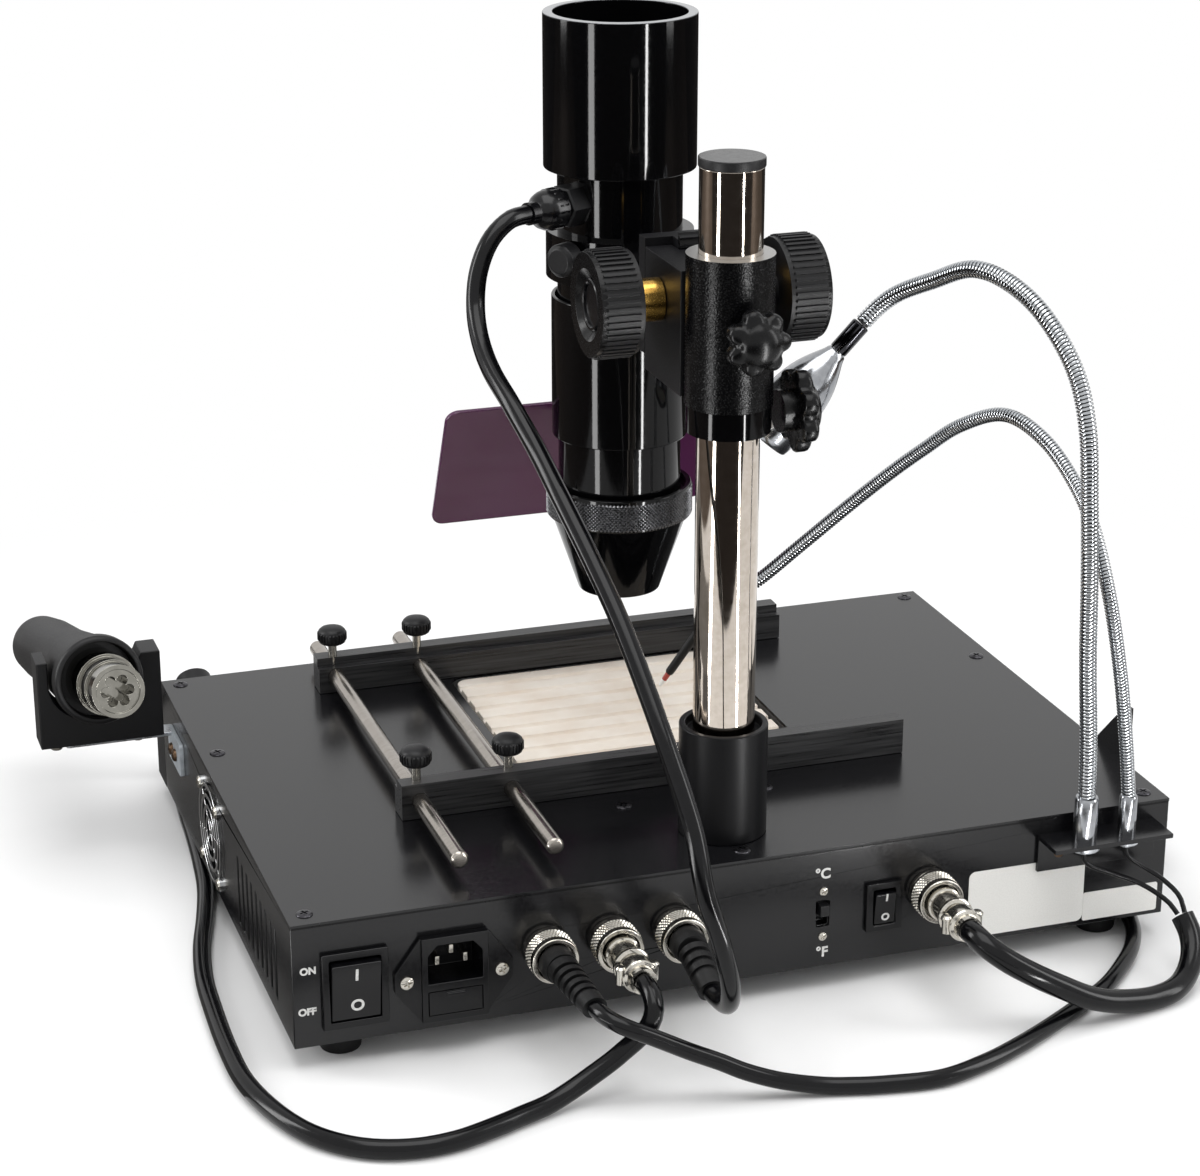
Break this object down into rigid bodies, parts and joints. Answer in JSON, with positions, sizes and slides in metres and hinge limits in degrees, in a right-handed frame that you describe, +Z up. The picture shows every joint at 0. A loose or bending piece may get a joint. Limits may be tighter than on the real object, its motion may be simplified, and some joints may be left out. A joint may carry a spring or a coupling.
{
  "type": "infrared rework station",
  "caption": "Bench rework station: heater case, infrared lamp on a pillar with focus drive, board holder rails, hot-air gun, soldering iron, light and probe on goosenecks.",
  "frame": {"origin": "On the bench under the middle of the case.", "axes": "+Z up; +Y to the rear panel with the sockets; +X to the fan side with the hot-air gun. The operator sits at -Y."},
  "size_m": [0.4885, 0.4283, 0.39],
  "materials": {
    "case_paint": "satin black powder coat",
    "front_fascia": "membrane fascia",
    "foot_rubber": "matte rubber",
    "screw_steel": "bright steel",
    "pan_steel": "folded steel",
    "heater_ceramic": "unglazed cream ceramic",
    "inner_parts": "circuit board and transformer",
    "chrome": "polished plating",
    "black_plastic": "fine matte",
    "gloss_plastic": "polished black",
    "black_anodised": "black anodised",
    "crinkle_paint": "crinkle black",
    "block_grey": "matte dark grey anodised",
    "bush_brass": "turned brass",
    "knob_plastic": "ribbed knobs on a steel shaft",
    "cord_rubber": "smooth black jacket",
    "emitter_glass": "dark red emitter",
    "visor_tint": "dark violet translucent sheet"
  },
  "bodies": {
    "base": {"base_tray": "case_paint", "top_cover": "case_paint", "front_panel": "front_fascia", "feet": "foot_rubber", "case_screws": "screw_steel", "heater_pan": "pan_steel", "ceramic_heater": "heater_ceramic", "control_board": "inner_parts", "pillar": "chrome", "pillar_cap": "black_plastic", "pillar_socket": "black_anodised", "fan_frame": "black_plastic", "fan_guard": "chrome", "mains_inlet": "gloss_plastic", "switch_housings": "gloss_plastic", "connectors": "chrome", "cord_plugs": "black_plastic", "gooseneck_bracket": "case_paint", "light_gooseneck": "chrome", "light_head": "chrome", "probe_gooseneck": "chrome", "probe_sleeve": "black_plastic", "gun_holder": "case_paint", "iron_holder": "case_paint", "lamp_cord": "cord_rubber", "solder_cord": "cord_rubber", "hot_air_cord": "cord_rubber", "lights_cord": "cord_rubber", "rods": "screw_steel"},
    "collar": {"stop_collar": "black_anodised"},
    "collar_knob": {"collar_knob": "gloss_plastic"},
    "carriage": {"carriage": "crinkle_paint", "focus_block": "block_grey", "focus_bushes": "bush_brass"},
    "carriage_knob": {"carriage_knob": "gloss_plastic"},
    "focus": {"focus_spindle": "knob_plastic"},
    "lamp": {"focus_slide": "block_grey", "lamp_holder": "black_anodised", "lamp_tubes": "black_anodised", "knurled_ring": "black_anodised", "lamp_cone": "black_anodised", "lamp_emitter": "emitter_glass", "lamp_gland": "black_plastic"},
    "ring_screw": {"ring_screw": "black_anodised"},
    "visor": {"visor": "visor_tint"},
    "front_rail": {"front_rail": "black_anodised"},
    "rear_rail": {"rear_rail": "black_anodised"},
    "thumb_1": {"thumb_screw_1": "black_anodised"},
    "thumb_2": {"thumb_screw_2": "black_anodised"},
    "thumb_3": {"thumb_screw_3": "black_anodised"},
    "thumb_4": {"thumb_screw_4": "black_anodised"},
    "power_rocker": {"power_rocker": "gloss_plastic"},
    "lights_rocker": {"lights_rocker": "gloss_plastic"},
    "unit_slider": {"unit_slider": "black_plastic"},
    "fuse_drawer": {"fuse_drawer": "gloss_plastic"},
    "fan_rotor": {"fan_rotor": "black_plastic"},
    "air_knob": {"air_knob": "black_plastic"},
    "gun": {"gun_handle": "black_plastic", "gun_nozzle": "chrome"},
    "iron": {"soldering_iron": "black_plastic"}
  },
  "joints": [
    {"name": "collar_height", "type": "slide", "parent": "base", "child": "collar", "axis": [0, 0, 1], "range_m": [-0.012, 0.03], "deforming": ["lamp_cord"]},
    {"name": "collar_knob_turn", "type": "hinge", "parent": "collar", "child": "collar_knob", "pos_m": [-0.03, 0.103, 0.2485], "axis": [-1, 0, 0], "range_deg": [-90, 90]},
    {"name": "carriage_swivel", "type": "hinge", "parent": "collar", "child": "carriage", "pos_m": [0, 0.103, 0.254], "axis": [0, 0, 1], "range_deg": [0, 35], "deforming": ["lamp_cord"]},
    {"name": "carriage_knob_turn", "type": "hinge", "parent": "carriage", "child": "carriage_knob", "pos_m": [0, 0.13, 0.2873], "axis": [0, 1, 0], "range_deg": [-90, 90]},
    {"name": "lamp_focus", "type": "slide", "parent": "carriage", "child": "lamp", "axis": [0, 0, 1], "range_m": [-0.014, 0.02], "deforming": ["lamp_cord"]},
    {"name": "focus_turn", "type": "hinge", "parent": "carriage", "child": "focus", "pos_m": [0, 0.07, 0.2905], "axis": [1, 0, 0], "range_deg": [-116, 82]},
    {"name": "ring_screw_turn", "type": "hinge", "parent": "lamp", "child": "ring_screw", "pos_m": [0, -0.033, 0.28825], "axis": [0.8387, 0.5446, 0], "range_deg": [-90, 90]},
    {"name": "visor_tilt", "type": "hinge", "parent": "lamp", "child": "visor", "pos_m": [0, -0.0745, 0.197], "axis": [1, 0, 0], "range_deg": [-30, 8]},
    {"name": "front_rail_slide", "type": "slide", "parent": "base", "child": "front_rail", "axis": [0, 1, 0], "range_m": [-0.02, 0.06]},
    {"name": "rear_rail_slide", "type": "slide", "parent": "base", "child": "rear_rail", "axis": [0, 1, 0], "range_m": [-0.05, 0.01]},
    {"name": "thumb_turn_1", "type": "hinge", "parent": "front_rail", "child": "thumb_1", "pos_m": [0.119, -0.102, 0.085], "axis": [0, 0, 1], "range_deg": [-90, 90]},
    {"name": "thumb_turn_2", "type": "hinge", "parent": "front_rail", "child": "thumb_2", "pos_m": [0.078, -0.102, 0.085], "axis": [0, 0, 1], "range_deg": [-90, 90]},
    {"name": "thumb_turn_3", "type": "hinge", "parent": "rear_rail", "child": "thumb_3", "pos_m": [0.119, 0.048, 0.085], "axis": [0, 0, 1], "range_deg": [-90, 90]},
    {"name": "thumb_turn_4", "type": "hinge", "parent": "rear_rail", "child": "thumb_4", "pos_m": [0.078, 0.048, 0.085], "axis": [0, 0, 1], "range_deg": [-90, 90]},
    {"name": "power_rock", "type": "hinge", "parent": "base", "child": "power_rocker", "pos_m": [0.1695, 0.136, 0.035], "axis": [1, 0, 0], "range_deg": [0, 14]},
    {"name": "lights_rock", "type": "hinge", "parent": "base", "child": "lights_rocker", "pos_m": [-0.0607, 0.136, 0.0357], "axis": [1, 0, 0], "range_deg": [0, 14]},
    {"name": "unit_slide", "type": "slide", "parent": "base", "child": "unit_slider", "axis": [0, 0, -1], "range_m": [0, 0.0044]},
    {"name": "fuse_pull", "type": "slide", "parent": "base", "child": "fuse_drawer", "axis": [0, 1, 0], "range_m": [0, 0.022]},
    {"name": "fan_spin", "type": "hinge", "parent": "base", "child": "fan_rotor", "pos_m": [0.185, -0.0225, 0.037], "axis": [1, 0, 0], "continuous": true},
    {"name": "air_turn", "type": "hinge", "parent": "base", "child": "air_knob", "pos_m": [0.176, -0.14453, 0.04979], "axis": [0, -0.8651, 0.5015], "range_deg": [-135, 135]},
    {"name": "gun_lift", "type": "slide", "parent": "base", "child": "gun", "axis": [0, 0, 1], "range_m": [0, 0.045], "deforming": ["hot_air_cord"]},
    {"name": "iron_draw", "type": "slide", "parent": "base", "child": "iron", "axis": [0, -1, 0], "range_m": [0, 0.09], "deforming": ["solder_cord"]}
  ],
  "couplings": [
    {"joint": "focus_turn", "follows": "lamp_focus", "rad_per_m": -100}
  ]
}
